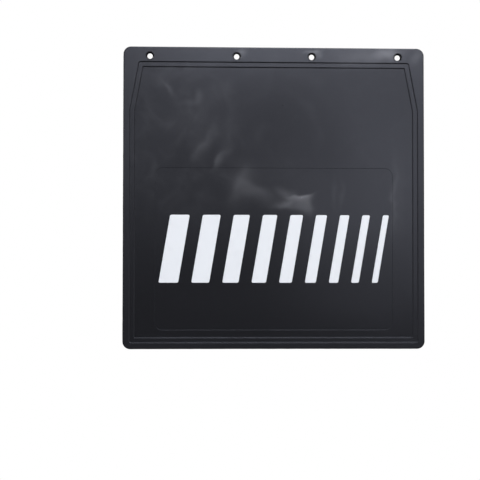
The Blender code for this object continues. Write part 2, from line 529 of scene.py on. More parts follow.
        # painted sheen: pale streaks on the polished border
        streaks = wiring.streaks(place, self.streak_size, self.streak_stretch)
        near_top = upper * self.streak_painted_sheen[0] + self.streak_painted_sheen[1]
        streaks = streaks * streaks * wiring.larger(polish, 0.0) * near_top
        # painted sheen: faint pale clouds on the back
        behind = (1.0 - on_face) * broken * self.back_painted_sheen
        return (arcs * broken * self.arc_painted_sheen + painted_sheen_marks) * on_face + behind + ground + streaks

    def _relief(self, wiring: Wiring, place: Signal, polish: Signal) -> Signal:
        """The fine grain of the mould, and the slow waves of the polished border.

        Args:
            wiring: The material's tree.
            place: The place on the sheet.
            polish: How polished the surface is there.

        Returns:
            The normal.
        """
        grain = wiring.clouds(place, self.grain_size, detail=3.0) * self.grain_height
        waves = wiring.streaks(place, self.wave_size, self.wave_stretch) * (polish + self.field_waves)
        waves = waves * self.wave_height
        return wiring.node("ShaderNodeBump", inputs={"Distance": 1.0, "Height": grain + waves})


@dataclass(frozen=True)
class WhiteRubber:
    """Smooth satin white rubber with faint smudges."""

    colour: Colour = (0.80, 0.83, 0.89)
    smudge: Colour = (0.70, 0.73, 0.79)
    smudge_size: float = 0.020
    smudge_noise: Span = (0.55, 0.85)  # where a smudge sets in, and where it is full
    smudge_share: float = 0.35
    smudge_roughness: float = 0.2
    roughness: float = 0.50
    grain_size: float = 0.0008
    grain_height: float = 0.00001

    def material(self) -> bpy.types.Material:
        """Builds the material.

        Returns:
            The material.
        """
        material, wiring = empty_material(Slot.WHITE.value)
        place = wiring.node("ShaderNodeTexCoord", output="Object")
        smudges = wiring.clouds(place, self.smudge_size, detail=4.0, warp=0.5)
        smudges = wiring.fade(smudges, *self.smudge_noise) * self.smudge_share
        grain = wiring.clouds(place, self.grain_size) * self.grain_height
        shader = wiring.node(
            "ShaderNodeBsdfPrincipled",
            inputs={
                "Base Color": wiring.mixed(smudges, (*self.colour, 1.0), (*self.smudge, 1.0)),
                "Roughness": smudges * self.smudge_roughness + self.roughness,
                "Normal": wiring.node("ShaderNodeBump", inputs={"Distance": 1.0, "Height": grain}),
            },
        )
        show(wiring, shader)
        return material


@dataclass(frozen=True)
class PaleFloor:
    """A matt pale floor that melts into the white background away from the flap.

    The flap mirrors it as it mirrors the studio: white behind the flap and dim in front of it.
    """

    centre_y: float
    colour: Colour = (0.88, 0.88, 0.88)
    mirrored: float = 0.041
    mirrored_white: Span = (0.1, 0.5)  # the y where what the flap mirrors starts to turn white, and is white
    plain_radius: float = 0.42
    melted_radius: float = 0.68

    def material(self) -> bpy.types.Material:
        """Builds the material.

        Returns:
            The material.
        """
        material, wiring = empty_material("pale_floor")
        x, y, _ = wiring.parts(wiring.node("ShaderNodeTexCoord", output="Object"))
        away = wiring.length(x, y - self.centre_y)
        camera = wiring.node("ShaderNodeLightPath", output="Is Camera Ray")
        mirrored = mirrored_rays(wiring)
        seen = wiring.fade(away, self.plain_radius, self.melted_radius) * camera
        share = wiring.larger(seen, wiring.fade(y, *self.mirrored_white) * mirrored)
        matt = wiring.node("ShaderNodeBsdfDiffuse", inputs={"Color": (*self.colour, 1.0)})
        dim = wiring.node("ShaderNodeEmission", inputs={"Strength": self.mirrored})
        near = wiring.node("ShaderNodeMixShader", inputs={0: mirrored, 1: matt, 2: dim})
        glow = wiring.node("ShaderNodeEmission", inputs={"Strength": 1.0})
        show(wiring, wiring.node("ShaderNodeMixShader", inputs={0: share, 1: near, 2: glow}))
        return material


def mirrored_rays(wiring: Wiring) -> Signal:
    """1 for mirrored and transmitted rays, and 0 for the rest."""
    glossy = wiring.node("ShaderNodeLightPath", output="Is Glossy Ray")
    return wiring.larger(glossy, glossy.other("Is Transmission Ray"))


# ---------------------------------------------------------------------------------------------------------
# Shapes
# ---------------------------------------------------------------------------------------------------------


@dataclass(frozen=True)
class Ripple:
    """How the soft sheet strays from flat as it hangs from its bolts."""

    height: float = 0.0007
    length: float = 0.110
    curl: float = 0.0010
    flat_above: float = -0.030
    free_below: float = -0.150
    half_width: float = 0.2  # from the sheet's middle to its side
    drop: float = 0.388  # from the bolts to the lower edge
    noise_y: float = 0.37  # of the slice through the noise that it follows

    def shift(self, x: float, z: float) -> float:
        """How far the sheet lies towards +Y.

        Args:
            x: The x of a place on it.
            z: The z of that place.

        Returns:
            The distance.
        """
        hold = min(max((self.flat_above - z) / (self.flat_above - self.free_below), 0.0), 1.0)
        hold = hold * hold * (3 - 2 * hold)
        wander = noise.noise(Vector((x, self.noise_y, z)) / self.length)
        bow = (x / self.half_width) ** 2 * (z / self.drop) ** 2
        return hold * (self.height * wander - self.curl * bow)

    def applied(self, places: Iterable[Sequence[float]]) -> list[Place]:
        """Places moved with the sheet."""
        return [(x, y + self.shift(x, z), z) for x, y, z in places]


def rectangle(left: float, right: float, bottom: float, top: float) -> tuple[Vector, ...]:
    """Corners of an upright rectangle."""
    return tuple(Vector(corner) for corner in ((left, bottom), (right, bottom), (right, top), (left, top)))


def leaning(centre: Vector, width: float, height: float, lean: float) -> tuple[Vector, ...]:
    """Corners of a parallelogram.

    Args:
        centre: Its centre.
        width: Its width, level.
        height: Its height.
        lean: How far its top lies to the right of its foot.

    Returns:
        The corners, from the lower left one.
    """
    shift = Vector((lean / 2, 0.0))
    half = Vector((width / 2, height / 2))
    low, high = centre - shift, centre + shift
    return (low - half, low + Vector((half.x, -half.y)), high + half, high - Vector((half.x, -half.y)))


def rounded_corner(before: Vector, corner: Vector, after: Vector, radius: float, parts: int) -> list[Vector]:
    """Points along the arc that takes off a corner.

    Args:
        before: Any point on the side that leads to the corner.
        corner: The corner.
        after: Any point on the side that leads away from it.
        radius: The arc's radius.
        parts: How many straight parts the arc is made of.

    Returns:
        The points, both of the arc's ends among them.
    """
    to_before, to_after = (before - corner).normalized(), (after - corner).normalized()
    half_angle = to_before.angle(to_after) / 2
    centre = corner + (to_before + to_after).normalized() * (radius / math.sin(half_angle))
    first = corner + to_before * (radius / math.tan(half_angle)) - centre
    sweep = math.copysign(math.pi - 2 * half_angle, to_after.cross(to_before))
    turns = [Matrix.Rotation(sweep * part / parts, 2) for part in range(parts + 1)]
    return [centre + turn @ first for turn in turns]


@dataclass(frozen=True)
class Outline:
    """A closed, convex outline of straight sides and rounded corners."""

    corners: tuple[Vector, ...]
    radius: float
    pitch: float = 0.004
    arc_parts: int = 8

    def points(self, outwards: float = 0.0) -> list[Vector]:
        """Points along the outline that lies outside this one by one distance, or inside if it is negative.

        Args:
            outwards: The distance between the two outlines.

        Returns:
            The points. Their number is the same at every distance.
        """
        arcs = [self._arc(number, outwards) for number in range(len(self.corners))]
        points = []
        for number, arc in enumerate(arcs):
            after = (number + 1) % len(arcs)
            runs = math.ceil((self.corners[after] - self.corners[number]).length / self.pitch)
            points += arc
            points += [arc[-1].lerp(arcs[after][0], run / runs) for run in range(1, runs)]
        return points

    def _arc(self, number: int, outwards: float) -> list[Vector]:
        """Points round one corner.

        Args:
            number: The corner's number.
            outwards: How far outside this outline the arc belongs.

        Returns:
            The points.
        """
        corner = self.corners[number]
        to_before = (self.corners[number - 1] - corner).normalized()
        to_after = (self.corners[(number + 1) % len(self.corners)] - corner).normalized()
        inwards = (to_before + to_after).normalized()
        moved = corner - inwards * (outwards / math.sin(to_before.angle(to_after) / 2))
        radius = max(self.radius + outwards, LEAST_RADIUS)
        return rounded_corner(moved + to_before, moved, moved + to_after, radius, self.arc_parts)


def circle(centre: Vector, radius: float, sides: int) -> list[Vector]:
    """Points round a circle."""
    angles = [math.tau * side / sides for side in range(sides)]
    return [centre + radius * Vector((math.cos(angle), math.sin(angle))) for angle in angles]


@dataclass(frozen=True)
class Section:
    """A section through a moulded edge, as (distance outside an outline, y): runs and rounded corners.

    The first and the last corner only give the directions in which the section ends. A guard beside its
    first and its last arc keeps the smooth shading of the edge off the flat areas next to it.
    """

    corners: tuple[tuple[float, float], ...]
    radii: tuple[float, ...]
    arc_parts: int = 4
    guard: float = 0.0001

    def points(self) -> list[Vector]:
        """Points along the section.

        Returns:
            The points, from the first guard to the last.
        """
        spots = [Vector(corner) for corner in self.corners]
        arcs = [
            rounded_corner(before, corner, after, radius, self.arc_parts)
            for before, corner, after, radius in zip(spots, spots[1:], spots[2:], self.radii)
        ]
        first = arcs[0][0] + (spots[0] - spots[1]).normalized() * self.guard
        last = arcs[-1][-1] + (spots[-1] - spots[-2]).normalized() * self.guard
        return [first, *(point for arc in arcs for point in arc), last]


def step_section(top: float, foot: float, edge: float, lean: float) -> Section:
    """A moulded step's section: its foot at distance 0, its wall leaning back by lean times its depth."""
    brink = (foot - top) * lean
    return Section(((1.0, top), (brink, top), (0.0, foot), (-1.0, foot)), (edge, edge))


class Skin:
    """A closed mesh under construction: rings of points, joined by bands of quads and by filled areas."""

    def __init__(self) -> None:
        """Starts empty."""
        self.places: list[Place] = []
        self.polish: list[float] = []
        self.faces: list[tuple[int, ...]] = []

    def ring(self, points: Sequence[Vector], y: float, surface: Surface) -> list[int]:
        """Adds points at one depth.

        Args:
            points: The points, as (x, z).
            y: Their depth.
            surface: The surface that they lie on.

        Returns:
            Their numbers.
        """
        first = len(self.places)
        self.places += [(point.x, y, point.y) for point in points]
        self.polish += [surface.value] * len(points)
        return list(range(first, len(self.places)))

    def band(self, outer: Sequence[int], inner: Sequence[int]) -> None:
        """Joins two rings by quads that face -Y where the inner ring lies level inside the outer one.

        Args:
            outer: The numbers of the outer ring's points.
            inner: The numbers of the inner ring's points.
        """
        count = len(outer)
        for number in range(count):
            after = (number + 1) % count
            self.faces.append((outer[number], outer[after], inner[after], inner[number]))

    def inward(self, rings: Sequence[Sequence[int]]) -> None:
        """Joins rings in turn, each inside or below the one before it."""
        for outer, inner in zip(rings, rings[1:]):
            self.band(outer, inner)

    def cap(self, ring: Sequence[int], centre: Vector, y: float, surface: Surface) -> None:
        """Closes a ring with triangles round one point.

        Args:
            ring: The numbers of the ring's points.
            centre: The point.
            y: The point's depth.
            surface: The surface that it lies on.
        """
        (tip,) = self.ring([centre], y, surface)
        for number in range(len(ring)):
            self.faces.append((ring[number], ring[(number + 1) % len(ring)], tip))

    def fill(
        self,
        outer: Sequence[int],
        holes: Sequence[Sequence[int]],
        surface: Surface,
        pitch: float = 0.004,
        facing: int = -1,
    ) -> None:
        """Fills the level area inside one ring and outside others.

        Args:
            outer: The ring round the area.
            holes: The rings inside it that stay open.
            surface: The kind of surface.
            pitch: The distance between the points that are added inside the area.
            facing: -1 if the area faces -Y, and 1 if it faces +Y.
        """
        loops = [outer, *holes]
        members = [index for loop in loops for index in loop]
        flat = [Vector((self.places[index][0], self.places[index][2])) for index in members]
        ends = np.cumsum([len(loop) for loop in loops])
        spans = [list(range(end - len(loop), end)) for loop, end in zip(loops, ends)]
        added = self._scattered([np.array([flat[index] for index in span]) for span in spans], pitch)
        numbers = members + self.ring(added, self.places[outer[0]][1], surface)
        _, _, triangles, origins, _, sources = delaunay_2d_cdt(flat + added, [], spans, 1, SAME_PLACE, True)
        for triangle, source in zip(triangles, sources):
            if len(source) == 1:
                corners = [numbers[origins[index][0]] for index in triangle]
                self.faces.append(tuple(corners if facing < 0 else reversed(corners)))

    @staticmethod
    def _scattered(loops: Sequence[np.ndarray], pitch: float) -> list[Vector]:
        """Points of a triangular lattice that lie clear inside one loop and clear outside others.

        Args:
            loops: The loop round them, and then the others.
            pitch: The distance between the points.

        Returns:
            The points.
        """
        low, high = loops[0].min(axis=0), loops[0].max(axis=0)
        rows = np.arange(low[1], high[1], pitch * math.sin(math.radians(60)))
        columns = np.arange(low[0], high[0], pitch)
        x = columns[None, :] + (np.arange(len(rows)) % 2)[:, None] * pitch / 2
        lattice = np.stack([x, np.broadcast_to(rows[:, None], x.shape)], axis=-1).reshape(-1, 2)
        clear = pitch * FILL_CLEARANCE
        keep = depth_inside(lattice, loops[0]) > clear
        for loop in loops[1:]:
            keep &= depth_inside(lattice, loop) < -clear
        return [Vector(point) for point in lattice[keep].tolist()]

    def piece(self, name: str, material: bpy.types.Material, ripple: Ripple) -> bpy.types.Object:
        """Turns the skin into a smooth piece.

        Args:
            name: The piece's name.
            material: Its material.
            ripple: How it strays from flat.

        Returns:
            The piece.
        """
        mesh = bpy.data.meshes.new(name)
        mesh.from_pydata(ripple.applied(self.places), [], self.faces)
        mesh.attributes.new(POLISH, "FLOAT", "POINT").data.foreach_set("value", self.polish)
        mesh.shade_smooth()
        return linked(name, mesh, material)


def depth_inside(points: np.ndarray, loop: np.ndarray) -> np.ndarray:
    """How deep points lie inside a convex loop.

    Args:
        points: The points, one a row.
        loop: The loop's points, one a row.

    Returns:
        Each point's distance from the nearest side's line, negative where the point is outside.
    """
    sides = np.roll(loop, -1, axis=0) - loop
    lengths = np.linalg.norm(sides, axis=1)
    loop, sides = loop[lengths > 0], sides[lengths > 0] / lengths[lengths > 0, None]
    offsets = points[:, None, :] - loop[None, :, :]
    return (sides[None, :, 0] * offsets[:, :, 1] - sides[None, :, 1] * offsets[:, :, 0]).min(axis=1)


def linked(name: str, mesh: bpy.types.Mesh, material: bpy.types.Material) -> bpy.types.Object:
    """Puts a mesh into the scene.

    Args:
        name: The object's name.
        mesh: The mesh.
        material: Its only material.

    Returns:
        The object.
    """
    mesh.materials.clear()
    mesh.materials.append(material)
    piece = bpy.data.objects.new(name, mesh)
    bpy.context.scene.collection.objects.link(piece)
    return piece


def declare(piece: bpy.types.Object, slot: Slot, *nodes: str) -> None:
    """Tells the frame about a piece.

    Args:
        piece: The piece.
        slot: Not used.
        nodes: The nodes that it stands for.
    """
    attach(piece, ROOT)
    if nodes:
        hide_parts(*nodes)
    LOG.info("%s: %d faces", piece.name, len(piece.data.polygons))


# ---------------------------------------------------------------------------------------------------------
# Geometry Nodes
# ---------------------------------------------------------------------------------------------------------


class Recipe:
    """A Geometry Nodes tree with named inputs for its sizes."""

    def __init__(self, name: str, **sizes: type) -> None:
        """Makes the tree's interface.

        Args:
            name: The tree's name.
            sizes: Each input's name and Python type, float or int.
        """
        self.group = bpy.data.node_groups.new(name, "GeometryNodeTree")
        self.wiring = Wiring(self.group)
        sockets = {float: "NodeSocketFloat", int: "NodeSocketInt"}
        self.group.interface.new_socket("Geometry", in_out="INPUT", socket_type="NodeSocketGeometry")
        self.group.interface.new_socket("Geometry", in_out="OUTPUT", socket_type="NodeSocketGeometry")
        self.keys = {}
        for size, kind in sizes.items():
            socket = self.group.interface.new_socket(size, in_out="INPUT", socket_type=sockets[kind])
            self.keys[size] = socket.identifier
        self.given = self.wiring.node("NodeGroupInput")

    def size(self, name: str) -> Signal:
        """One of the tree's inputs."""
        return self.given.other(name)

    def finish(self, geometry: Signal, material: bpy.types.Material) -> None:
        """Ends the tree: real geometry with one material.

        Args:
            geometry: What the tree makes.
            material: The material.
        """
        real = self.wiring.node("GeometryNodeRealizeInstances", inputs={0: geometry})
        dressed = self.wiring.node("GeometryNodeSetMaterial", inputs={0: real, "Material": material})
        self.wiring.node("NodeGroupOutput", inputs={0: dressed})

    def made(self, start: bpy.types.Mesh, **sizes: float) -> bpy.types.Mesh:
        """Runs the tree on a mesh.

        Args:
            start: The mesh.
            sizes: A value for each of the tree's inputs.

        Returns:
            The plain mesh that the tree gives.
        """
        carrier = bpy.data.objects.new(self.group.name, start)
        bpy.context.scene.collection.objects.link(carrier)
        modifier = carrier.modifiers.new(self.group.name, "NODES")
        modifier.node_group = self.group
        for name, value in sizes.items():
            modifier[self.keys[name]] = value
        evaluated = carrier.evaluated_get(bpy.context.evaluated_depsgraph_get())
        result = bpy.data.meshes.new_from_object(evaluated)
        carrier.modifiers.clear()
        bpy.data.objects.remove(carrier)
        return result


def resampled(recipe: Recipe, path: Signal) -> Signal:
    """A curve with its points one pitch of the tree apart."""
    inputs = {0: path, "Length": recipe.size("pitch")}
    return recipe.wiring.node("GeometryNodeResampleCurve", {"mode": "LENGTH"}, inputs)


def bar_recipe(material: bpy.types.Material) -> Recipe:
    """The tree that makes one white bar, flat on XY with its face towards +Z.

    The outline is a rounded rectangle, sheared to lean. A profile swept round it makes the wall, the rounded
    rim and a strip that climbs to the slightly crowned face, and the open loops at both ends are filled.

    Args:
        material: The bar's material.

    Returns:
        The tree.
    """
    recipe = Recipe(
        "white_bar",
        width=float,
        height=float,
        lean=float,
        corner=float,
        depth=float,
        rim=float,
        crown=float,
        shoulder=float,
        pitch=float,
        rim_points=int,
    )
    wiring, size = recipe.wiring, recipe.size
    square = wiring.node(
        "GeometryNodeCurvePrimitiveQuadrilateral", inputs={"Width": size("width"), "Height": size("height")}
    )
    rounded = wiring.node(
        "GeometryNodeFilletCurve",
        {"mode": "POLY"},
        {0: square, "Count": FILLET_PARTS, "Radius": size("corner")},
    )
    _, up, _ = wiring.parts(wiring.node("GeometryNodeInputPosition"))
    slide = wiring.joined(up * size("lean") / size("height"), 0.0, 0.0)
    slanted = wiring.node("GeometryNodeSetPosition", inputs={0: rounded, "Offset": slide})
    path = resampled(recipe, slanted)
    path = wiring.node("GeometryNodeSetCurveNormal", {"mode": "Z_UP"}, {0: path})
    swept = wiring.node("GeometryNodeCurveToMesh", inputs={0: path, "Profile Curve": bar_profile(recipe)})
    sides = wiring.node("GeometryNodeFlipFaces", inputs={0: swept})
    lids = [bar_lid(recipe, sides, at_face) for at_face in (False, True)]
    joined = wiring.node("GeometryNodeJoinGeometry")
    for shell in (sides, *lids):
        wiring.feed(joined.socket.node.inputs[0], shell)
    welded = wiring.node("GeometryNodeMergeByDistance", inputs={0: joined, "Distance": WELD_DISTANCE})
    recipe.finish(welded, material)
    return recipe


def bar_lid(recipe: Recipe, sides: Signal, at_face: bool) -> Signal:
    """The flat lid of a bar's open sides.

    Args:
        recipe: The bar's tree.
        sides: The open sides.
        at_face: True for the lid on the face, and False for the one on the foot.

    Returns:
        The lid.
    """
    wiring, size = recipe.wiring, recipe.size
    neighbours = wiring.node("GeometryNodeInputMeshEdgeNeighbors")
    _, _, height = wiring.parts(wiring.node("GeometryNodeInputPosition"))
    upper = wiring.maths("GREATER_THAN", height, size("depth") / 2.0)
    level = upper if at_face else 1.0 - upper
    loose = wiring.maths("LESS_THAN", neighbours, 1.5) * level  # edges with one face
    loop = wiring.node("GeometryNodeMeshToCurve", inputs={0: sides, "Selection": loose})
    lid = wiring.node("GeometryNodeFillCurve", {"mode": "NGONS"}, {0: loop})
    if not at_face:
        return wiring.node("GeometryNodeFlipFaces", inputs={0: lid})
    lift = wiring.joined(0.0, 0.0, size("depth"))
    return wiring.node("GeometryNodeSetPosition", inputs={0: lid, "Offset": lift})


def bar_profile(recipe: Recipe) -> Signal:
    """The profile of a bar's edge, from its foot to its face.

    Args:
        recipe: The bar's tree.

    Returns:
        A curve of (distance outside the outline, height below the foot).
    """
    wiring, size = recipe.wiring, recipe.size
    line = wiring.node("GeometryNodeMeshLine", inputs={"Count": size("rim_points")})
    index = wiring.node("GeometryNodeInputIndex")
    last = size("rim_points") - 1.0
    share = wiring.maths("MINIMUM", wiring.larger((index - 1.0) / (last - 2.0), 0.0), 1.0)
    angle = share * (math.pi / 2)
    at_foot = wiring.maths("LESS_THAN", index, 0.5)
    at_face = wiring.maths("GREATER_THAN", index, last - 0.5)
    inside = size("rim") * (1.0 - wiring.maths("COSINE", angle)) + at_face * size("shoulder")
    shoulder_height = size("depth") - size("crown")
    rise = shoulder_height - size("rim") * (1.0 - wiring.maths("SINE", angle)) + at_face * size("crown")
    spot = wiring.joined(0.0 - inside, rise * (at_foot - 1.0), 0.0)
    placed = wiring.node("GeometryNodeSetPosition", inputs={0: line, "Position": spot})
    return wiring.node("GeometryNodeMeshToCurve", inputs={0: placed})


def bead_recipe(material: bpy.types.Material) -> Recipe:
    """The tree that lays an uneven bead of rubber along the edges of the mesh it is given.

    Args:
        material: The bead's material.

    Returns:
        The tree.
    """
    recipe = Recipe("rubber_bead", radius=float, unevenness=float, blotch=float, pitch=float, sides=int)
    wiring, size = recipe.wiring, recipe.size
    path = wiring.node("GeometryNodeMeshToCurve", inputs={0: recipe.given})
    path = resampled(recipe, path)
    wander = wiring.clouds(wiring.node("GeometryNodeInputPosition"), size("blotch"))
    thickness = (wander - 0.5) * size("unevenness") + 1.0
    profile = wiring.node(
        "GeometryNodeCurvePrimitiveCircle", inputs={"Resolution": size("sides"), "Radius": size("radius")}
    )
    bead = wiring.node(
        "GeometryNodeCurveToMesh", inputs={0: path, "Profile Curve": profile, "Scale": thickness}
    )
    recipe.finish(bead, material)
    return recipe


# ---------------------------------------------------------------------------------------------------------
# The flap
# ---------------------------------------------------------------------------------------------------------


@dataclass(frozen=True)
class BarPlace:
    """Where one white bar lies, worked out from its node in the frame."""

    node: str
    centre: Vector
    width: float
    height: float
    lean: float
    face: float
    back: float

    @classmethod
    def of_node(cls, node: str, slant: float, corner: float) -> "BarPlace":
        """Reads a bar's place from its node's box.

        Args:
            node: The node's name.
            slant: The angle by which the bar leans, in radians.
            corner: The radius of its corners, which keep it short of the box that sharp ones would fill.

        Returns:
            The bar's place.
        """
        low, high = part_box(node)
        height = high[2] - low[2]
        lean = height * math.tan(slant)
        trim = corner * (math.tan(slant) + 1 / math.cos(slant) - 1)
        return cls(
            node=node,
            centre=Vector(((low[0] + high[0]) / 2, (low[2] + high[2]) / 2)),
            width=high[0] - low[0] - lean + 2 * trim,
            height=height,
            lean=lean,
            face=low[1],
            back=high[1],
        )


@dataclass(frozen=True)
class WhiteBars:
    """The row of slanted white bars inlaid in the panel."""

    count: int = 9
    slant: float = math.radians(9.6)
    corner: float = 0.0020
    rim: float = 0.00045
    crown: float = 0.00010
    shoulder: float = 0.0009
    pitch: float = 0.0006
    rim_points: int = 8

    def places(self) -> list[BarPlace]:
        """Every bar's place, from left to right."""
        names = [f"{BAR_PREFIX}{number}" for number in range(1, self.count + 1)]
        return [BarPlace.of_node(name, self.slant, self.corner) for name in names]

    def build(self, material: bpy.types.Material, ripple: Ripple) -> None:
        """Makes every bar and lets it stand for its node.

        Args:
            material: The white rubber.
            ripple: How the sheet strays from flat.
        """
        recipe = bar_recipe(material)
        for number, place in enumerate(self.places(), 1):
            mesh = recipe.made(
                bpy.data.meshes.new("start"),
                width=place.width,
                height=place.height,
                lean=place.lean,
                corner=self.corner,
                depth=place.back - place.face,
                rim=self.rim,
                crown=self.crown,
                shoulder=self.shoulder,
                pitch=self.pitch,
                rim_points=self.rim_points,
            )
            upright = Matrix.Translation((place.centre.x, place.back, place.centre.y))
            mesh.transform(upright @ Matrix.Rotation(math.pi / 2, 4, "X"))
            settle(mesh, ripple)
            smooth_but_flat_face(mesh)
            declare(linked(f"inlaid_bar_{number}", mesh, material), Slot.WHITE, place.node)


def settle(mesh: bpy.types.Mesh, ripple: Ripple) -> None:
    """Moves a mesh with the sheet's ripple."""
    for vertex in mesh.vertices:
        vertex.co.y += ripple.shift(vertex.co.x, vertex.co.z)


def smooth_but_flat_face(mesh: bpy.types.Mesh) -> None:
    """Shades a bar smooth, apart from the two large faces."""
    for polygon in mesh.polygons:
        polygon.use_smooth = len(polygon.vertices) == 4


@dataclass(frozen=True)
class BoltHole:
    """One round bolt hole, which narrows from front to back and has its edges rubbed round."""

    centre: Vector
    front_radius: float = 0.00525
    back_radius: float = 0.0035
    front_edge: float = 0.00035
    back_edge: float = 0.0002
    sides: int = 56
    lip_inset: float = 0.0006  # from the hole's edge to the middle of the soft lip round it

    def rings(self, front: float, back: float) -> list[tuple[list[Vector], float]]:
        """The hole's wall, from the front face to the back face.

        Args:
            front: The level of the front face.
            back: The level of the back face.

        Returns:
            Rings, as their points and their depth.
        """
        wall = ((1.0, front), (self.front_radius, front), (self.back_radius, back), (1.0, back))
        spots = Section(wall, (self.front_edge, self.back_edge)).points()
        return [(circle(self.centre, spot.x, self.sides), spot.y) for spot in spots]

    def lips(self, front: float, back: float) -> list[tuple[list[Vector], float]]:
        """The middles of the soft lips round the hole, as their points and their depth."""
        sizes = ((self.front_radius, front), (self.back_radius, back))
        return [(circle(self.centre, radius + self.lip_inset, self.sides), y) for radius, y in sizes]


@dataclass(frozen=True)
class TurnedMark:
    """A small round mark in a face: rings of (radius, rise above the face), and its rise at the centre."""

    centre: Vector
    rings: tuple[tuple[float, float], ...]
    tip: float
    raw_within: float = 0.0  # the radius inside which it is raw and matt
    sides: int = 28


@dataclass(frozen=True)
class Bead:
    """How an uneven bead of rubber is laid along a line."""

    radius: float
    unevenness: float
    blotch: float
    pitch: float
    sides: int = 8

    def laid(self, recipe: Recipe, loops: Sequence[tuple[Sequence[Vector], float]]) -> bpy.types.Mesh:
        """Lays the bead along closed loops.

        Args:
            recipe: The bead's tree.
            loops: The loops, as their points and their depth.

        Returns:
            The bead's mesh.
        """
        mesh = recipe.made(
            loops_mesh(loops),
            radius=self.radius,
            unevenness=self.unevenness,
            blotch=self.blotch,
            pitch=self.pitch,
            sides=self.sides,
        )
        mesh.shade_smooth()
        return mesh


def loops_mesh(loops: Sequence[tuple[Sequence[Vector], float]]) -> bpy.types.Mesh:
    """A mesh of closed loops of edges.

    Args:
        loops: The loops, as their points and their depth.

    Returns:
        The mesh.
    """
    places: list[Place] = []
    edges: list[tuple[int, int]] = []
    for points, y in loops:
        first, count = len(places), len(points)
        places += [(point.x, y, point.y) for point in points]
        edges += [(first + number, first + (number + 1) % count) for number in range(count)]
    mesh = bpy.data.meshes.new("loops")
    mesh.from_pydata(places, edges, [])
    return mesh


